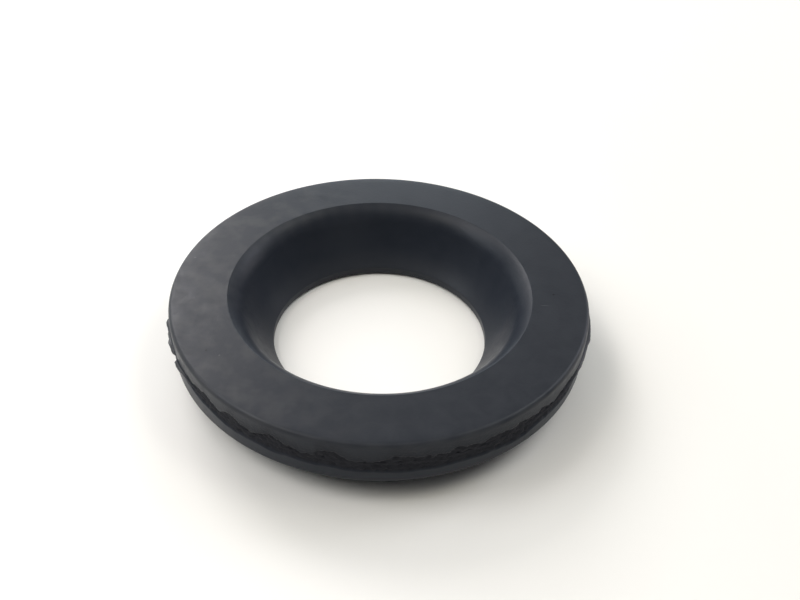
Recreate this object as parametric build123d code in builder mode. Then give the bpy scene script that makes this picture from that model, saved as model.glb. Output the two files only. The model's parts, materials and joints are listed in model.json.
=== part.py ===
"""Flanged rubber seal ring, moulded in one piece.

A flat flange with a rounded rim runs round a bowl, which narrows to a thin sealing lip.
A tapered foot carries the flange. Torn flash from the mould's parting line stays on the rim.
The axis is +Z, the foot stands on Z = 0, and the front is -Y. Lengths are in millimetres.
"""
import math
import os

from build123d import *

# Bowl and lip, from the throat outwards and from the foot upwards
throat_diameter = 32.4
lip_height = 0.3
lip_land = 1.2
lip_edge_bevel = 0.25
bowl_width = 6.0
bowl_depth = 9.1
mouth_round_width = 2.2
mouth_round_depth = 2.6

# Flange
flange_width = 8.2
rim_depth = 6.5
top_edge_radius = 0.6
rim_corner_bevel = 0.3

# Foot
foot_inset = 3.0
relief_width = 5.0

# Torn flash: a thin fin on the parting line, in the middle of a shallow band that the tear left
flash_depth = 3.3
flash_thickness = 0.45
flash_reach = 0.45
flash_root = 1.0
scar_width = 2.3
scar_recess = 0.3

# The fin is wider at the two sides, and its edge is jagged: each share belongs to a number of waves
swell_share = 0.45
ripple_shares = {5: 0.1, 13: 0.1, 31: 0.12}
flash_points = 60

# Azimuth of the middle of each torn place, with the torn angle; the front has lost all of the fin
tears = {
    22: 3.4,
    71: 6.0,
    128: 4.6,
    156: 3.0,
    204: 2.0,
    268: 100.0,
}

throat_radius = throat_diameter / 2
mouth_radius = throat_radius + bowl_width
rim_radius = mouth_radius + flange_width
foot_radius = rim_radius - foot_inset
relief_radius = throat_radius + relief_width
lip_top = lip_height + lip_land
seal_height = lip_top + bowl_depth
bowl_top = seal_height - mouth_round_depth
bowl_top_radius = mouth_radius - mouth_round_width
flash_top = seal_height - flash_depth
flash_bottom = flash_top - flash_thickness
flash_middle = flash_top - flash_thickness / 2
flash_inner_radius = rim_radius - flash_root
scar_radius = rim_radius - scar_recess
tear_radius = 2 * rim_radius

# The bowl is part of a sphere whose centre is on the axis
radius_squares = bowl_top_radius**2 - throat_radius**2
bowl_centre = (bowl_top + lip_top + radius_squares / (bowl_top - lip_top)) / 2
bowl_radius = math.hypot(throat_radius, bowl_centre - lip_top)


def polar_point(radius, azimuth):
    """Point at a radius and an azimuth in degrees."""
    return radius * math.cos(math.radians(azimuth)), radius * math.sin(math.radians(azimuth))


def flash_point(step):
    """Point of the fin's edge: a mean reach beyond the rim, a swell towards both sides and a ripple."""
    turn = math.tau * step / flash_points
    ripple = sum(share * math.sin(waves * turn + waves) for waves, share in ripple_shares.items())
    radius = rim_radius + flash_reach * (1 + swell_share * math.cos(2 * turn) + ripple)
    return polar_point(radius, math.degrees(turn))


# Body: one section, turned round the axis
with BuildPart() as seal_ring:
    with BuildSketch(Plane.XZ) as section:
        with BuildLine():
            Polyline(
                (relief_radius, 0),
                (foot_radius, 0),
                (rim_radius, seal_height - rim_depth),
                (rim_radius, seal_height),
                (mouth_radius, seal_height),
            )
            bowl = RadiusArc((throat_radius, lip_top), (bowl_top_radius, bowl_top), -bowl_radius)
            TangentArc(bowl @ 1, (mouth_radius, seal_height), tangent=bowl % 1)
            Polyline((throat_radius, lip_top), (throat_radius, lip_height), (relief_radius, 0))
        make_face()
        chamfer(section.vertices().group_by(Axis.X)[0], lip_edge_bevel)
        fillet(section.vertices().group_by(Axis.Y)[-1].sort_by(Axis.X)[-1], top_edge_radius)
        chamfer(section.vertices().group_by(Axis.X)[-1].sort_by(Axis.Y)[0], rim_corner_bevel)
    revolve(axis=Axis.Z)

    # Band on both sides of the parting line, where the flash took some skin with it
    with BuildSketch(Plane.XZ):
        with Locations((scar_radius, flash_middle)):
            Rectangle(scar_recess + flash_root, scar_width, align=(Align.MIN, Align.CENTER))
    revolve(axis=Axis.Z, mode=Mode.SUBTRACT)

    # Flash fin with its tears
    with BuildSketch(Plane.XY.offset(flash_bottom)):
        with BuildLine():
            Polyline([flash_point(step) for step in range(flash_points)], close=True)
        make_face()
        for azimuth, torn_angle in tears.items():
            with BuildLine():
                Polyline(
                    (0, 0),
                    polar_point(tear_radius, azimuth - torn_angle / 2),
                    polar_point(tear_radius, azimuth + torn_angle / 2),
                    close=True,
                )
            make_face(mode=Mode.SUBTRACT)
        Circle(flash_inner_radius, mode=Mode.SUBTRACT)
    extrude(amount=flash_thickness)

seal_ring.part.label = "seal_ring"
os.makedirs("parts", exist_ok=True)
export_step(seal_ring.part, "parts/seal_ring.step")
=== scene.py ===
"""Flanged rubber seal ring on a pale floor, seen as in the photograph.

One mesh stands for the moulded ring. Its section is the solid's own section, carried round the axis,
with the torn flash worked out along the rim. Lengths are in metres, and the axis is +Z.
"""

import json
import math

import bpy
import numpy as np
from mathutils import Matrix, Vector


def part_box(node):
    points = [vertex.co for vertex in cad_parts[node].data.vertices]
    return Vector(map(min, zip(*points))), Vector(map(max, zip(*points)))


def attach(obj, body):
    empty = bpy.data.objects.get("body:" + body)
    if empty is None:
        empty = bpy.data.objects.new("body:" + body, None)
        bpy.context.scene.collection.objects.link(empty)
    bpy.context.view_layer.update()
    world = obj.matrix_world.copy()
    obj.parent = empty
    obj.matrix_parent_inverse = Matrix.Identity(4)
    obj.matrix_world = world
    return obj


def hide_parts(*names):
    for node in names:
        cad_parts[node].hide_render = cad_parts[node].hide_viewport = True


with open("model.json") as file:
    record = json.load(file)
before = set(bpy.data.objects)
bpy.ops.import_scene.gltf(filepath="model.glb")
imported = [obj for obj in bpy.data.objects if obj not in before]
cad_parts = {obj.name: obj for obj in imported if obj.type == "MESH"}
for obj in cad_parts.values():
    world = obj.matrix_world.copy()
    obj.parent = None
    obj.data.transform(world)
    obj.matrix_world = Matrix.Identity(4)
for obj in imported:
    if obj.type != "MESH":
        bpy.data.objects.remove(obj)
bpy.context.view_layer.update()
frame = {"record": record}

# Sizes that the frame gives
ring_low, ring_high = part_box("seal_ring")
HEIGHT = ring_high.z - ring_low.z
THROAT_RADIUS = next(m for m in frame["record"]["mounts"] if m["name"] == "throat")["dims"]["r_mm"] / 1000

# Section of the ring
LIP_HEIGHT = 0.0003
LIP_LAND = 0.0012
LIP_EDGE = 0.00025
BOWL_WIDTH = 0.0060
MOUTH_ROUND_WIDTH = 0.0022
MOUTH_ROUND_DEPTH = 0.0026
MOUTH_EDGE = 0.00003
FLANGE_WIDTH = 0.0082
RIM_DEPTH = 0.0065
TOP_EDGE = 0.0006
RIM_CORNER = 0.0004
FOOT_INSET = 0.0030
FOOT_EDGE = 0.0003
RELIEF_WIDTH = 0.0050
RELIEF_EDGE = 0.0004

# Torn flash on the rim: a fin, in a band from which the skin is gone
FLASH_DEPTH = 0.0033
FLASH_THICKNESS = 0.00045
SCAR_RECESS = 0.00022
SCAR_EDGE = 0.0002
SCAR_LEAST_DEPTH = 0.0011
SCAR_MOST_DEPTH = 0.0056
# Width of the painted shade above the torn band, where the skin is also dull
DULL_SHADE_WIDTH = 0.0024

MOUTH_RADIUS = THROAT_RADIUS + BOWL_WIDTH
RIM_RADIUS = MOUTH_RADIUS + FLANGE_WIDTH
FOOT_RADIUS = RIM_RADIUS - FOOT_INSET
RELIEF_RADIUS = THROAT_RADIUS + RELIEF_WIDTH
LIP_TOP = LIP_HEIGHT + LIP_LAND
FLASH_TOP = HEIGHT - FLASH_DEPTH
FLASH_BOTTOM = FLASH_TOP - FLASH_THICKNESS

# Reach of the flash fin beyond the rim, by azimuth in degrees; the front is 270, and there the fin is gone
FLASH_REACH = {
    0: 0.0008, 20: 0.0006, 45: 0.0004, 70: 0.00035, 100: 0.0003, 125: 0.0004, 155: 0.0006, 176: 0.0004,
    188: 0.00035, 189: 0.00075, 190: 0.00075, 193: 0.00045, 196: 0.0005, 198: 0.00065, 200: 0.00045,
    202: 0.00035, 206: 0.0005, 209: 0.0004, 213: 0.0001, 216: -0.0001, 225: -0.0002, 310: -0.0002, 322: 0.0,
    335: 0.0003, 344: 0.00045, 346: 0.0007, 355: 0.0008,
}
# Raggedness of the fin's edge, by azimuth
FLASH_RAGGED = {0: 0.15, 30: 0.4, 178: 0.4, 190: 0.5, 206: 0.5, 220: 0.3, 345: 0.15}
# Places where the fin is torn off: azimuth of the middle, torn angle, and share of the skin that went with it
TEARS = [(22, 3.4, 0.8), (71, 6.0, 0.9), (128, 4.6, 0.8), (156, 3.0, 0.7), (204, 2.4, 0.5)]
TEAR_SLOPE = 1.0
# Share of the skin that is gone along the front, by azimuth
SCAR_SHARE = {206: 0.0, 213: 0.6, 219: 1.0, 322: 1.0, 331: 0.8, 339: 0.0}
# Depth of the torn band's upper and lower edges below the top face, by azimuth
SCAR_TOP_DEPTH = {
    0: 0.0031, 22: 0.0026, 71: 0.0027, 128: 0.0023, 156: 0.0026, 190: 0.0031, 208: 0.0029, 213: 0.0024,
    217: 0.0025, 223: 0.0018, 228: 0.0029, 232: 0.0019, 236: 0.0027, 240: 0.0029, 244: 0.0018, 249: 0.0027,
    252: 0.0032, 255: 0.0031, 256: 0.0022, 260: 0.0018, 264: 0.0032, 270: 0.0031, 274: 0.0021, 280: 0.0025,
    287: 0.0026, 288: 0.0020, 296: 0.0026, 298: 0.0021, 304: 0.0024, 306: 0.0021, 312: 0.0025, 314: 0.0022,
    319: 0.0031, 322: 0.0025, 326: 0.0022, 336: 0.0033,
}
SCAR_LOW_DEPTH = {
    0: 0.0042, 211: 0.0040, 221: 0.0040, 232: 0.0045, 258: 0.0046, 277: 0.0049, 293: 0.0047, 306: 0.0051,
    315: 0.0046, 327: 0.0048, 330: 0.0044, 336: 0.0042,
}
# Ripples of the fin's edge, of its curl and of the band's edges: height, wavelength and seed
REACH_RIPPLES = [(0.00007, 0.0030, 3), (0.00006, 0.0012, 4)]
CURL_RIPPLES = [(0.00012, 0.009, 5)]
RAGGED_CURL_RIPPLES = [(0.00004, 0.002, 6)]
SCAR_TOP_RIPPLES = [(0.00009, 0.0028, 7), (0.00006, 0.0010, 8)]
SCAR_LOW_RIPPLES = [(0.00006, 0.007, 9), (0.00003, 0.0025, 10)]
# Grain of the torn floor: height, size and seed
SCAR_GRAINS = [(0.00006, 0.0013, 11), (0.00005, 0.0007, 12)]
# Share of painted shade just above the torn band, where the skin is also dull, by azimuth
DULL_SHADE_SHARE = {0: 0.0, 228: 0.1, 242: 0.6, 282: 0.6, 300: 0.3, 340: 0.0}

# Share of painted light, a light grey, on the top edge and in the rounding of the bowl's mouth, by azimuth
EDGE_PAINTED_LIGHT = {0: 0.42, 190: 0.45, 205: 0.65, 238: 0.65, 255: 0.42}
MOUTH_PAINTED_LIGHT = {25: 0.0, 75: 0.2, 205: 0.2, 330: 0.0}
# Share of painted light on the lip, and the height above the lip at which it ends
LIP_PAINTED_LIGHT = 0.25
LIP_PAINTED_LIGHT_HEIGHT = 0.0035
# Patches in the painted light of the top edge and the mouth: height, wavelength and seed
PAINTED_LIGHT_RIPPLES = [(0.3, 0.006, 13)]
# Weight of the top edge's painted light at its lower end, and how much of that is lost on the way up
EDGE_PAINTED_LIGHT_START = 1.4
EDGE_PAINTED_LIGHT_LOSS = 0.8
# Share of the fin's section, and reach of the fin, from which the fin gets painted light all through and
# counts as not torn
FIN_LIGHT_SHARE = 0.4
FIN_LIGHT_REACH = 0.0003
# Specks and a scratch on the top face: place, half lengths along X and Y, and colour
SPECKS = [
    ((-0.0229, -0.0146), (0.00016, 0.00020), (0.006, 0.006, 0.008, 1)),
    ((-0.0210, -0.0155), (0.00014, 0.00018), (0.060, 0.062, 0.064, 1)),
    ((-0.0282, 0.0058), (0.00020, 0.00016), (0.055, 0.056, 0.060, 1)),
    ((0.0253, -0.0014), (0.00018, 0.00020), (0.004, 0.004, 0.005, 1)),
    ((0.02365, -0.00395), (0.00065, 0.00010), (0.040, 0.042, 0.046, 1)),
]

# Grid: steps round the axis, then points of the section's curves, then points of its straight runs
AZIMUTH_STEPS = 660
CORNER_POINTS = 5
RELIEF_EDGE_POINTS = 4
TOP_EDGE_POINTS = 10
MOUTH_POINTS = 9
BOWL_POINTS = 13
FIN_POINTS = 13
FOOT_POINTS = 4
TAPER_POINTS = 5
RIM_POINTS = 3
SCAR_LOW_POINTS = 24
SCAR_TOP_POINTS = 30
FLANGE_POINTS = 7
LAND_POINTS = 2
RELIEF_POINTS = 6
# Share of the mouth's rounding at which a point holds the crease sharp
MOUTH_SUPPORT_SHARE = 1 / 99
# Powers that make the fin's section blunt
FIN_REACH_POWER = 0.6
FIN_HEIGHT_POWER = 0.8
# Waves in one noise, and the range of their numbers about the middle one
RIPPLE_WAVES = 9
RIPPLE_RANGE = (0.6, 1.7)
GRAIN_WAVES = 14
GRAIN_RANGE = (0.7, 1.5)


def run(start, end, count):
    """Straight run from start towards end: start plus a growing share of the way, the end itself left out."""
    share = np.linspace(0, 1, count, endpoint=False)[:, None]
    return np.asarray(start) + share * (np.asarray(end) - np.asarray(start))


def arc(centre, start, end, count):
    """Circular arc from start to end about a centre, at evenly spaced shares of the way."""
    return arc_at(centre, start, end, np.linspace(0, 1, count))


def arc_at(centre, start, end, shares):
    """Points of a circular arc at given shares of the way: the two end directions, blended by sines."""
    centre, start, end = (np.asarray(point, float) for point in (centre, start, end))
    first, last = start - centre, end - centre
    sweep = math.acos(first @ last / (np.linalg.norm(first) * np.linalg.norm(last)))
    share = np.asarray(shares)[:, None]
    return centre + (np.sin((1 - share) * sweep) * first + np.sin(share * sweep) * last) / math.sin(sweep)


def rounded(before, corner, after, radius, count):
    """Arc that rounds a corner between two straight runs and touches both of them."""
    before, corner, after = (np.asarray(point, float) for point in (before, corner, after))
    back = (before - corner) / np.linalg.norm(before - corner)
    onward = (after - corner) / np.linalg.norm(after - corner)
    half = math.acos(back @ onward) / 2
    centre = corner + (back + onward) / np.linalg.norm(back + onward) * radius / math.sin(half)
    touch = radius / math.tan(half)
    return arc(centre, corner + back * touch, corner + onward * touch, count)


def by_azimuth(table, azimuth):
    """Value of a table at each azimuth: straight between its entries, and closed round the ring."""
    return np.interp(np.degrees(azimuth), list(table), list(table.values()), period=360)


def ripple(azimuth, wavelength, seed):
    """Closed noise round the rim: a sum of cosines with whole numbers of waves about one wavelength."""
    rng = np.random.default_rng(seed)
    middle = math.tau * RIM_RADIUS / wavelength
    least, most = (int(share * middle) for share in RIPPLE_RANGE)
    waves = rng.integers(least, most + 1, RIPPLE_WAVES)
    phases = rng.uniform(0, math.tau, RIPPLE_WAVES)
    return np.cos(np.multiply.outer(azimuth, waves) + phases).sum(-1) / math.sqrt(RIPPLE_WAVES)


def ripples(azimuth, terms):
    """Sum of ripples, each with its own height, wavelength and seed."""
    return sum(height * ripple(azimuth, wavelength, seed) for height, wavelength, seed in terms)


def grain(points, size, seed):
    """Noise in space: a sum of plane waves in seeded directions, each about one grain size long."""
    rng = np.random.default_rng(seed)
    directions = rng.normal(size=(GRAIN_WAVES, 3))
    directions /= np.linalg.norm(directions, axis=1)[:, None]
    waves = directions * (math.tau / size * rng.uniform(*GRAIN_RANGE, GRAIN_WAVES))[:, None]
    phases = rng.uniform(0, math.tau, GRAIN_WAVES)
    return np.cos(points @ waves.T + phases).sum(-1) / math.sqrt(GRAIN_WAVES / 2)


def tear(azimuth, middle, angle):
    """Share of the fin that one tear takes: 1 inside the torn angle, with a straight slope at each end."""
    offset = np.abs((np.degrees(azimuth) - middle + 180) % 360 - 180)
    return np.clip((angle / 2 - offset) / TEAR_SLOPE + 0.5, 0, 1)


def step(low, high, value):
    """Smooth step from 0 at low to 1 at high."""
    share = np.clip((value - low) / (high - low), 0, 1)
    return share * share * (3 - 2 * share)


def bowl_curve():
    """Rounding of the mouth, and the bowl below it.

    The bowl is part of a sphere whose centre is on the axis. The rounding is an arc that leaves it in line.
    """
    mouth = np.array([MOUTH_RADIUS, HEIGHT])
    top = mouth - (MOUTH_ROUND_WIDTH, MOUTH_ROUND_DEPTH)
    lip = np.array([THROAT_RADIUS, LIP_TOP])
    centre = np.array([0, (top @ top - lip @ lip) / (2 * (top[1] - lip[1]))])
    outward = (top - centre) / np.linalg.norm(top - centre)
    chord = mouth - top
    round_centre = top + outward * (chord @ chord) / (2 * (chord @ outward))
    shares = np.insert(np.linspace(0, 1, MOUTH_POINTS), 1, MOUTH_SUPPORT_SHARE)
    return arc_at(round_centre, mouth, top, shares), arc(centre, top, lip, BOWL_POINTS)


def ring_section():
    """Section of the ring as a closed row of (radius, height), with each point's shares.

    It runs outwards under the foot, up the taper and the rim, in over the flange, down the bowl and back
    under the lip. Points are close together where the rim is torn. The shares say how much a point belongs
    to the fin, to the top edge, to the mouth's rounding and to the lip.
    """
    relief = (RELIEF_RADIUS, 0)
    foot = (FOOT_RADIUS, 0)
    rim_low = (RIM_RADIUS, HEIGHT - RIM_DEPTH)
    rim_high = (RIM_RADIUS, HEIGHT)
    mouth = (MOUTH_RADIUS, HEIGHT)
    lip_top = (THROAT_RADIUS, LIP_TOP)
    lip_low = (THROAT_RADIUS, LIP_HEIGHT)
    scar_low = (RIM_RADIUS, HEIGHT - SCAR_MOST_DEPTH)
    scar_high = (RIM_RADIUS, HEIGHT - SCAR_LEAST_DEPTH)
    mouth_support = (MOUTH_RADIUS + MOUTH_EDGE, HEIGHT)

    turn = np.linspace(0, math.pi, FIN_POINTS)
    fin_share = np.sin(turn) ** FIN_REACH_POWER
    fin_side = np.sign(np.cos(turn)) * np.abs(np.cos(turn)) ** FIN_HEIGHT_POWER
    fin_height = (FLASH_TOP + FLASH_BOTTOM) / 2 - FLASH_THICKNESS / 2 * fin_side
    fin = np.stack([np.full_like(turn, RIM_RADIUS), fin_height], 1)

    mouth_round, bowl = bowl_curve()
    foot_edge = rounded(relief, foot, rim_low, FOOT_EDGE, CORNER_POINTS)
    rim_corner = rounded(foot, rim_low, rim_high, RIM_CORNER, CORNER_POINTS)
    top_edge = rounded(rim_low, rim_high, mouth, TOP_EDGE, TOP_EDGE_POINTS)
    lip_upper = rounded(bowl[-2], lip_top, lip_low, LIP_EDGE, CORNER_POINTS)
    lip_lower = rounded(lip_top, lip_low, relief, LIP_EDGE, CORNER_POINTS)
    relief_edge = rounded(lip_low, relief, foot, RELIEF_EDGE, RELIEF_EDGE_POINTS)

    rows = {
        "foot": run(relief_edge[-1], foot_edge[0], FOOT_POINTS)[1:],
        "foot_edge": foot_edge[:-1],
        "taper": run(foot_edge[-1], rim_corner[0], TAPER_POINTS),
        "rim_corner": rim_corner[:-1],
        "rim_low": run(rim_corner[-1], scar_low, RIM_POINTS),
        "scar_low": run(scar_low, fin[0], SCAR_LOW_POINTS),
        "fin": fin[:-1],
        "scar_top": run(fin[-1], scar_high, SCAR_TOP_POINTS),
        "rim_high": run(scar_high, top_edge[0], RIM_POINTS),
        "top_edge": top_edge[:-1],
        "flange": run(top_edge[-1], mouth_support, FLANGE_POINTS),
        "mouth_support": np.array([mouth_support]),
        "mouth_round": mouth_round[:-1],
        "bowl": bowl[bowl[:, 1] > lip_upper[0][1]],
        "lip_upper": lip_upper[:-1],
        "lip_land": run(lip_upper[-1], lip_lower[0], LAND_POINTS),
        "lip_lower": lip_lower[:-1],
        "relief": run(lip_lower[-1], relief_edge[0], RELIEF_POINTS),
        "relief_edge": relief_edge,
    }
    section = np.concatenate(list(rows.values()))

    def share_of(name, values):
        """Values on one named row, whose last point starts the next row, and 0 on all the others."""
        parts = [values[:-1] if key == name else np.zeros(len(row)) for key, row in rows.items()]
        return np.concatenate(parts)

    rise = np.linspace(0, 1, TOP_EDGE_POINTS)
    edge_light = np.sin(math.pi * rise) * (EDGE_PAINTED_LIGHT_START - EDGE_PAINTED_LIGHT_LOSS * rise)
    shares = {
        "fin": share_of("fin", fin_share),
        "edge": share_of("top_edge", edge_light),
        "mouth": share_of("mouth_round", np.linspace(1, 0, len(mouth_round))),
        "lip": step(LIP_TOP + LIP_PAINTED_LIGHT_HEIGHT, LIP_TOP, section[:, 1]) * (section[:, 0] < RELIEF_RADIUS),
    }
    return section, shares


def ring_surface():
    """Ring as a grid of points, azimuth by section, with how torn, how much painted light and how steep each
    point is.

    The radius is the section's own, less the recess of the torn band, whose upper edge is ragged and whose
    floor is rough, plus the fin's reach at that azimuth above the band's floor. The fin curls a little.
    The fin where it reaches out, and in places the top edge, the mouth's rounding and the lip, get painted
    light, and there the fin counts as not torn. Above the band the skin is dull and has painted shade, which
    counts as partly torn. Steep is the rise of the section for each unit of its length.
    """
    section, shares = ring_section()
    azimuth = np.linspace(0, math.tau, AZIMUTH_STEPS, endpoint=False)
    radius, height = (np.tile(column, (AZIMUTH_STEPS, 1)) for column in section.T)
    around = azimuth[:, None]

    ragged = by_azimuth(FLASH_RAGGED, azimuth)
    reach = by_azimuth(FLASH_REACH, azimuth)
    bare = by_azimuth(SCAR_SHARE, azimuth)
    for middle, angle, skin_share in TEARS:
        gone = tear(azimuth, middle, angle)
        reach = reach * (1 - gone)
        bare = np.maximum(bare, skin_share * gone)
    reach = reach + ragged * ripples(azimuth, REACH_RIPPLES)
    curl = ripples(azimuth, CURL_RIPPLES) + ragged * ripples(azimuth, RAGGED_CURL_RIPPLES)

    band_top = HEIGHT - by_azimuth(SCAR_TOP_DEPTH, azimuth) + ripples(azimuth, SCAR_TOP_RIPPLES)
    band_low = HEIGHT - by_azimuth(SCAR_LOW_DEPTH, azimuth) + ripples(azimuth, SCAR_LOW_RIPPLES)
    above_top = height - band_top[:, None]
    above_low = height - band_low[:, None]
    on_rim = (section[:, 0] > RIM_RADIUS - TOP_EDGE) * bare[:, None]
    torn = on_rim * step(-SCAR_EDGE, SCAR_EDGE, -above_top) * step(-SCAR_EDGE, SCAR_EDGE, above_low)
    # Painted shade: the skin just above the band gets the darker torn colour and roughness
    dull_shade = on_rim * step(0, DULL_SHADE_WIDTH, DULL_SHADE_WIDTH - above_top) * (above_top > 0)
    dull_shade = dull_shade * by_azimuth(DULL_SHADE_SHARE, azimuth)[:, None]

    rim_x, rim_y = (RIM_RADIUS * wave(around) + 0 * height for wave in (np.cos, np.sin))
    place = np.stack([rim_x, rim_y, height], -1)
    rough = sum(rise * grain(place, size, seed) for rise, size, seed in SCAR_GRAINS)
    floor = -torn * (SCAR_RECESS + rough)
    radius += floor + shares["fin"] * np.maximum(reach[:, None] - floor, 0)
    height += shares["fin"] ** 2 * curl[:, None]
    points = np.stack([radius * np.cos(around), radius * np.sin(around), height], -1)

    # Painted light: a light grey on the fin where it reaches out, in patches on the top edge and the mouth's
    # rounding, and on the lip and the bowl just above it
    fin_light = step(0, FIN_LIGHT_SHARE, shares["fin"]) * step(0, FIN_LIGHT_REACH, reach)[:, None]
    light_patches = 1 + ripples(azimuth, PAINTED_LIGHT_RIPPLES)[:, None]
    edge_light, mouth_light = (by_azimuth(table, azimuth)[:, None] for table in (EDGE_PAINTED_LIGHT, MOUTH_PAINTED_LIGHT))
    lit_places = light_patches * (edge_light * shares["edge"] + mouth_light * shares["mouth"]) + LIP_PAINTED_LIGHT * shares["lip"]
    slope = np.gradient(section, axis=0)
    marks = {
        # The torn mark also carries the painted shade above the band
        "torn": np.maximum(torn, dull_shade) * (1 - fin_light),
        "painted_light": np.clip(fin_light + lit_places, 0, 1),
        "steep": np.abs(slope[:, 1]) / np.hypot(slope[:, 0], slope[:, 1]) + 0 * height,
    }
    return points, marks


def closed_mesh(name, points, marks):
    """Mesh of a grid that closes both ways: each cell is one face, and each mark gives one value a point."""
    rows, columns = points.shape[:2]
    index = np.arange(rows * columns).reshape(rows, columns)
    ahead = np.roll(index, -1, 0)
    quads = np.stack([index, ahead, np.roll(ahead, -1, 1), np.roll(index, -1, 1)], -1).reshape(-1, 4)
    mesh = bpy.data.meshes.new(name)
    mesh.from_pydata(points.reshape(-1, 3), [], quads)
    for mark, values in marks.items():
        attribute = mesh.attributes.new(mark, "FLOAT", "POINT")
        attribute.data.foreach_set("value", values.astype(np.float32).ravel())
    mesh.polygons.foreach_set("use_smooth", np.ones(len(quads), bool))
    mesh.update()
    piece = bpy.data.objects.new(name, mesh)
    bpy.context.scene.collection.objects.link(piece)
    return piece


class Nodes:
    """Short way to add and join the nodes of one material or world."""

    def __init__(self, tree):
        self.tree = tree
        tree.nodes.clear()

    def add(self, kind, settings=None, **inputs):
        """New node with its settings and inputs; an underscore in an input's name stands for a space."""
        node = self.tree.nodes.new(kind)
        for name, value in (settings or {}).items():
            setattr(node, name, value)
        for name, value in inputs.items():
            self.put(node, name.replace("_", " "), value)
        return node

    def put(self, node, name, value):
        """Value on an input, or a link from another node's output."""
        socket = node.inputs[name]
        if isinstance(value, bpy.types.NodeSocket):
            self.tree.links.new(value, socket)
        else:
            socket.default_value = value

    def spread(self, value, low, high, bottom, top):
        """Value moved from one range into another, and held inside it."""
        node = self.add("ShaderNodeMapRange", {"clamp": True}, Value=value)
        ends = {"From Min": low, "From Max": high, "To Min": bottom, "To Max": top}
        for name, number in ends.items():
            self.put(node, name, number)
        return node.outputs["Result"]

    def mix(self, factor, first, second, colour=False):
        """Blend of two values, or of two colours, which have sockets of their own on the node."""
        node = self.add("ShaderNodeMix", {"data_type": "RGBA" if colour else "FLOAT"})
        sockets = (0, 6, 7) if colour else (0, 2, 3)
        for socket, value in zip(sockets, (factor, first, second)):
            self.put(node, socket, value)
        return node.outputs[2 if colour else 0]

    def noise(self, place, **inputs):
        """Noise pattern at a place, as one value."""
        return self.add("ShaderNodeTexNoise", Vector=place, **inputs).outputs["Fac"]

    def mark(self, name):
        """One of the mesh's own marks."""
        return self.add("ShaderNodeAttribute", {"attribute_name": name}).outputs["Fac"]

    def vector_math(self, operation, *vectors):
        """Result node of a vector operation."""
        node = self.add("ShaderNodeVectorMath", {"operation": operation})
        for socket, vector in enumerate(vectors):
            self.put(node, socket, vector)
        return node


# Finish of the rubber: colours, shine, and roughness of the skin and of torn places. A bluer, lighter colour
# on steep places is painted cool light, a light grey is painted light, and the torn colour also paints shade
# above the band
SKIN_DARK = (0.0168, 0.0190, 0.0240, 1)
SKIN_BLOOM = (0.0210, 0.0233, 0.0284, 1)
# Bluer, lighter colour of steep places: painted cool light
SKIN_STEEP_PAINTED_LIGHT = (0.0205, 0.0245, 0.0330, 1)
DUST = (0.062, 0.061, 0.060, 1)
TORN_AND_SHADE = (0.0205, 0.0215, 0.0265, 1)
# Light grey that paints light on the fin, the top edge, the mouth's rounding and the lip
PAINTED_LIGHT_GREY = (0.060, 0.062, 0.066, 1)
SHINE = 0.18
SKIN_ROUGHNESS = (0.31, 0.45)
TORN_ROUGHNESS = 0.8
# Values of the blotchy noise between which the bloom and the roughness go from least to most
BLOOM_RANGE = (0.35, 0.7)
ROUGHNESS_RANGE = (0.3, 0.7)
# Dust lies on flat places left of the axis, in full from this X on
DUST_FULL_X = -0.02
# Values of the dust's own noise between which it goes from none to most, and its share where it is most
DUST_RANGE = (0.42, 0.66)
DUST_SHARE = 0.36
# A speck is whole up to the first share of its size and gone at the second, and this strong
SPECK_FADE = (0.5, 1.2)
SPECK_STRENGTH = 0.9


def specked(nodes, place, colour):
    """Colour with the specks laid over it: each fades with the distance from its middle, in half lengths."""
    for (x, y), (half_x, half_y), speck_colour in SPECKS:
        offset = nodes.vector_math("SUBTRACT", place, (x, y, HEIGHT)).outputs["Vector"]
        scaled = nodes.vector_math("DIVIDE", offset, (half_x, half_y, half_x)).outputs["Vector"]
        distance = nodes.vector_math("LENGTH", scaled).outputs["Value"]
        share = nodes.spread(distance, *SPECK_FADE, SPECK_STRENGTH, 0.0)
        colour = nodes.mix(share, colour, speck_colour, colour=True)
    return colour


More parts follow.
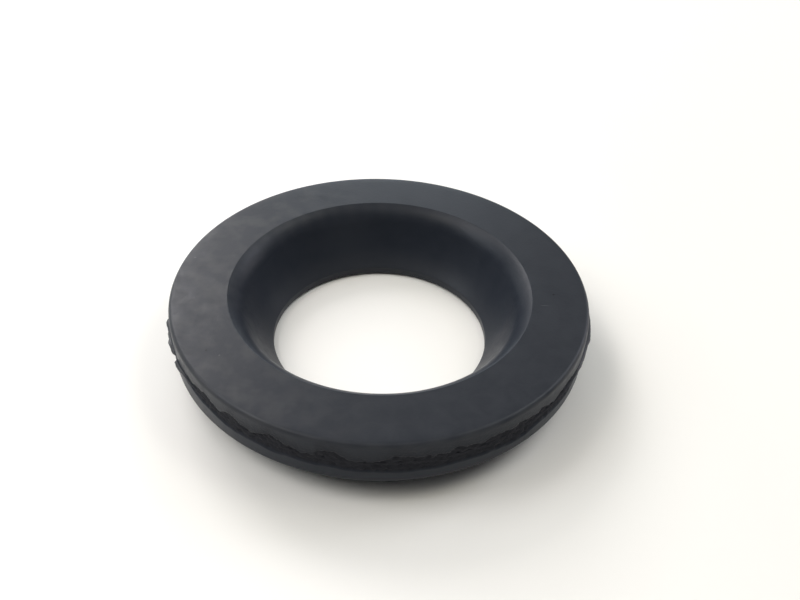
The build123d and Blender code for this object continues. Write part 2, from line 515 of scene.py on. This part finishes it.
def black_rubber():
    """Moulded black rubber: a soft sheen, a faint grey bloom, dust, torn places and specks, with painted cool
    light on steep places, painted light on the fin, edges and lip, and painted shade above the torn band.
    """
    material = bpy.data.materials.new("black_rubber")
    material.use_nodes = True
    nodes = Nodes(material.node_tree)
    place = nodes.add("ShaderNodeTexCoord").outputs["Object"]
    torn, painted_light, steep = (nodes.mark(name) for name in ("torn", "painted_light", "steep"))

    blotch = nodes.noise(place, Scale=420.0, Detail=4.0, Roughness=0.6, Distortion=0.6)
    skin = nodes.mix(nodes.spread(blotch, *BLOOM_RANGE, 0.0, 1.0), SKIN_DARK, SKIN_BLOOM, colour=True)
    # Painted cool light: steep places, the rim's walls and the bowl, get a bluer, lighter colour
    skin = nodes.mix(steep, skin, SKIN_STEEP_PAINTED_LIGHT, colour=True)
    across = nodes.add("ShaderNodeSeparateXYZ", Vector=place).outputs["X"]
    left = nodes.spread(across, 0.0, DUST_FULL_X, 0.0, 1.0)
    flat_left = nodes.mix(steep, left, 0.0)
    patch = nodes.noise(place, Scale=360.0, Detail=2.0, Roughness=0.5)
    dust = nodes.mix(flat_left, 0.0, nodes.spread(patch, *DUST_RANGE, 0.0, DUST_SHARE))
    skin = nodes.mix(dust, skin, DUST, colour=True)
    # The torn colour is also the painted shade on the skin just above the band
    colour = nodes.mix(torn, skin, TORN_AND_SHADE, colour=True)
    # Painted light: the light grey laid on the fin, the top edge, the mouth's rounding and the lip
    colour = nodes.mix(painted_light, colour, PAINTED_LIGHT_GREY, colour=True)
    colour = specked(nodes, place, colour)
    rough = nodes.mix(torn, nodes.spread(blotch, *ROUGHNESS_RANGE, *SKIN_ROUGHNESS), TORN_ROUGHNESS)

    fine = nodes.noise(place, Scale=2600.0, Detail=3.0)
    coarse = nodes.noise(place, Scale=1300.0, Detail=4.0, Roughness=0.7)
    skin_bump = nodes.add("ShaderNodeBump", Strength=0.12, Distance=0.0001, Height=fine)
    torn_bump = nodes.add("ShaderNodeBump", Strength=torn, Distance=0.00025, Height=coarse)
    nodes.put(torn_bump, "Normal", skin_bump.outputs["Normal"])
    surface = nodes.add("ShaderNodeBsdfPrincipled", Base_Color=colour, Roughness=rough)
    nodes.put(surface, "Normal", torn_bump.outputs["Normal"])
    nodes.put(surface, "Specular IOR Level", SHINE)
    nodes.add("ShaderNodeOutputMaterial", Surface=surface.outputs["BSDF"])
    return material


# Floor: half of its edge, its colours on the left and right, which paint light brighter on the left, and half
# of the width over which they blend
FLOOR_HALF = 0.35
FLOOR_LEFT = (0.95, 0.93, 0.88, 1)
FLOOR_RIGHT = (0.83, 0.81, 0.75, 1)
FLOOR_BLEND_HALF = 0.05


def pale_floor():
    """Plain pale floor under the ring, with painted light that makes it a little brighter on the left."""
    corners = [(x * FLOOR_HALF, y * FLOOR_HALF, 0) for x, y in ((-1, -1), (1, -1), (1, 1), (-1, 1))]
    mesh = bpy.data.meshes.new("floor")
    mesh.from_pydata(corners, [], [(0, 1, 2, 3)])
    floor = bpy.data.objects.new("floor", mesh)
    bpy.context.scene.collection.objects.link(floor)
    material = bpy.data.materials.new("pale_floor")
    material.use_nodes = True
    nodes = Nodes(material.node_tree)
    place = nodes.add("ShaderNodeTexCoord").outputs["Object"]
    across = nodes.add("ShaderNodeSeparateXYZ", Vector=place).outputs["X"]
    share = nodes.spread(across, -FLOOR_BLEND_HALF, FLOOR_BLEND_HALF, 0.0, 1.0)
    colour = nodes.mix(share, FLOOR_LEFT, FLOOR_RIGHT, colour=True)
    surface = nodes.add("ShaderNodeBsdfPrincipled", Base_Color=colour, Roughness=0.6)
    nodes.add("ShaderNodeOutputMaterial", Surface=surface.outputs["BSDF"])
    mesh.materials.append(material)
    return floor


# Pale backdrop behind the floor's far edge
BACKDROP = (0.90, 0.89, 0.86, 1)
# Lamps, all at one distance: azimuth and elevation in degrees, edge length, power and colour
LAMP_DISTANCE = 1.0
LAMPS = [
    (30, 15, 0.4, 1.1, (0.95, 0.92, 1)),
    (90, 15, 0.4, 2.0, (0.84, 0.93, 1)),
    (138, 12, 0.4, 0.9, (0.92, 0.97, 1)),
    (300, 15, 0.6, 0.75, (0.90, 0.92, 1)),
    (30, 35, 0.4, 1.95, (0.83, 0.87, 1)),
    (62, 38, 0.4, 0.4, (0.95, 0.97, 1)),
    (120, 35, 0.4, 4.6, (1, 0.98, 1)),
    (180, 35, 0.4, 2.3, (0.88, 0.94, 1)),
    (0, 55, 0.3, 1.2, (1, 1, 0.93)),
    (30, 55, 0.4, 1.2, (0.99, 1, 0.97)),
    (90, 48, 0.3, 0.5, (0.95, 0.97, 1)),
    (150, 55, 0.4, 1.25, (0.98, 0.98, 1)),
    (180, 55, 0.3, 1.75, (1, 0.97, 0.99)),
    (210, 55, 0.4, 1.3, (1, 0.95, 0.85)),
    (270, 66, 0.5, 0.9, (0.95, 0.97, 1)),
    (300, 78, 0.8, 0.6, (1, 0.95, 0.88)),
]


def soft_light(azimuth, elevation, size, power, colour):
    """Square area light that faces the ring from one side."""
    name = f"lamp_{azimuth}_{elevation}"
    light = bpy.data.lights.new(name, "AREA")
    light.shape = "SQUARE"
    light.size = size
    light.energy = power
    light.color = colour
    lamp = bpy.data.objects.new(name, light)
    flat, rise = math.radians(azimuth), math.radians(elevation)
    way = Vector((math.cos(rise) * math.cos(flat), math.cos(rise) * math.sin(flat), math.sin(rise)))
    lamp.location = way * LAMP_DISTANCE
    lamp.rotation_euler = (-way).to_track_quat("-Z", "Y").to_euler()
    bpy.context.scene.collection.objects.link(lamp)


def studio():
    """Soft light from all round: low lamps, and brighter ones behind and above.

    The world gives no light. It is pale only where a view reaches past the floor.
    """
    world = bpy.data.worlds.new("studio")
    bpy.context.scene.world = world
    world.use_nodes = True
    nodes = Nodes(world.node_tree)
    seen = nodes.add("ShaderNodeLightPath").outputs["Is Camera Ray"]
    background = nodes.add("ShaderNodeBackground", Color=BACKDROP, Strength=seen)
    nodes.add("ShaderNodeOutputWorld", Surface=background.outputs["Background"])
    for settings in LAMPS:
        soft_light(*settings)


# Camera: its place, the point that it faces, its lean in degrees, its lens on a sensor of this width in
# millimetres, and the nearest distance that it sees
CAMERA_PLACE = (0.00006, -0.091969, 0.083877)
CAMERA_AIM = (0.002813, -0.003355, 0.0106)
CAMERA_LEAN = 2.292
CAMERA_LENS = 36.0
CAMERA_SENSOR = 36.0
CAMERA_NEAREST = 0.005


def photo_camera():
    """Camera of the photograph: it stands in front of the ring, above it, and leans a little."""
    camera = bpy.data.cameras.new("photo_camera")
    camera.sensor_width = CAMERA_SENSOR
    camera.lens = CAMERA_LENS
    camera.clip_start = CAMERA_NEAREST
    holder = bpy.data.objects.new("photo_camera", camera)
    holder.location = CAMERA_PLACE
    turn = (Vector(CAMERA_AIM) - holder.location).to_track_quat("-Z", "Y").to_matrix()
    lean = Matrix.Rotation(math.radians(CAMERA_LEAN), 3, Vector((0, 0, 1)))
    holder.rotation_euler = (turn @ lean).to_euler()
    bpy.context.scene.collection.objects.link(holder)
    bpy.context.scene.camera = holder


points, marks = ring_surface()
ring = closed_mesh("moulded_ring", points, marks)
ring.data.materials.append(black_rubber())
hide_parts("seal_ring")
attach(ring, "root")
pale_floor()
studio()
photo_camera()
bpy.context.scene.view_settings.view_transform = "Standard"
